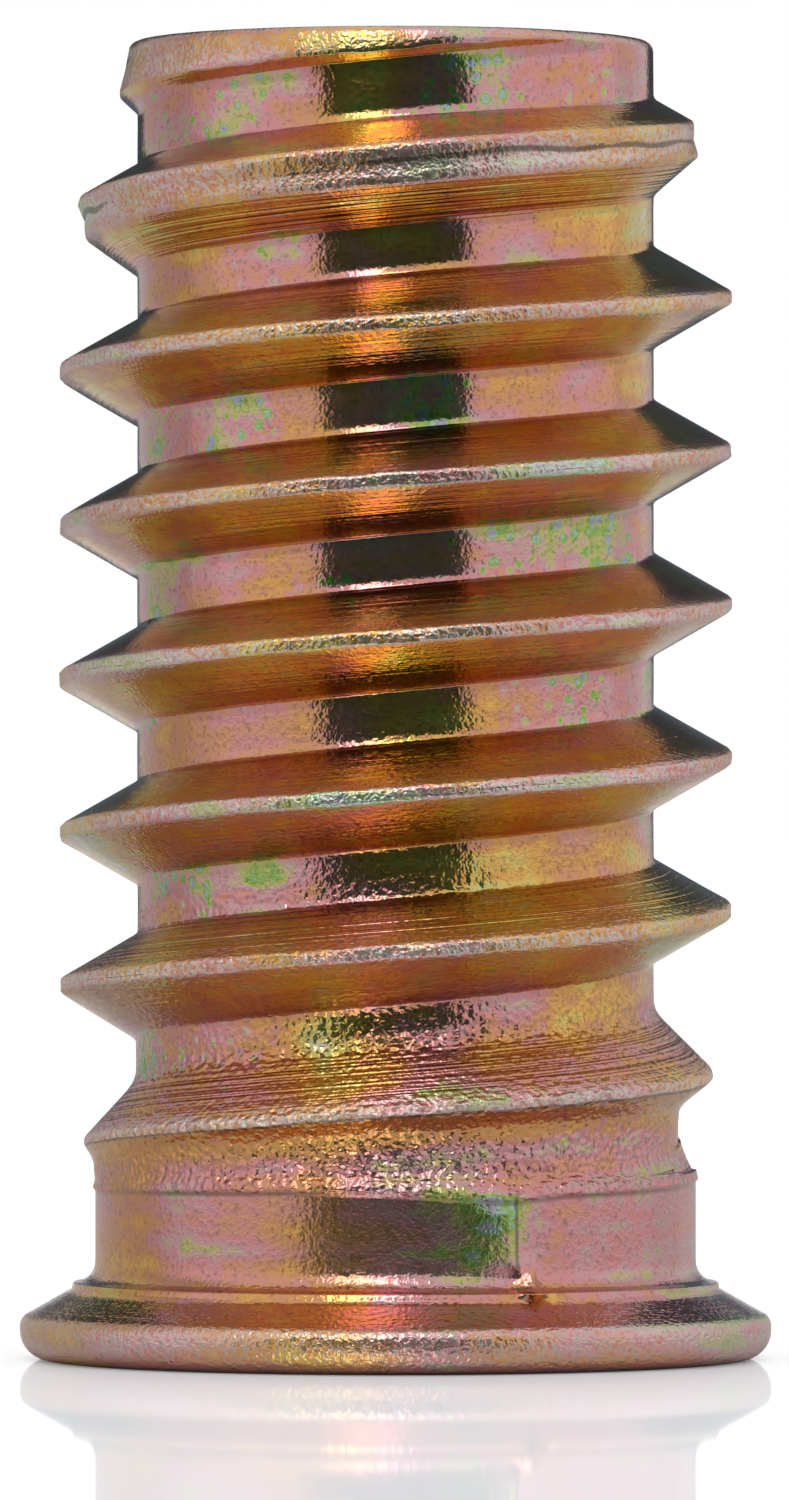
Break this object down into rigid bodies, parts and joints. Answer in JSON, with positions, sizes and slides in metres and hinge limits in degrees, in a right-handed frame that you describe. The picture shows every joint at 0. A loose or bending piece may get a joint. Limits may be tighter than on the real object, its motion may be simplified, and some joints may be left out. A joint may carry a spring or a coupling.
{
  "type": "threaded insert",
  "caption": "Flanged threaded insert for wood: coarse outer thread, plain collar, round flange, hex socket and through bore for a machine screw.",
  "frame": {"origin": "centre of the flange's outer face, on the axis", "axes": "+Z along the axis from the flange's outer face to the leading end, +X through a corner of the hex socket"},
  "size_m": [0.0142, 0.0142, 0.025],
  "materials": {
    "yellow_zinc": "steel with yellow chromated zinc plating: a thin iridescent film that drifts between gold, pink and green, worn to silver on the crests"
  },
  "bodies": {
    "root": {"insert": "yellow_zinc"}
  },
  "joints": []
}
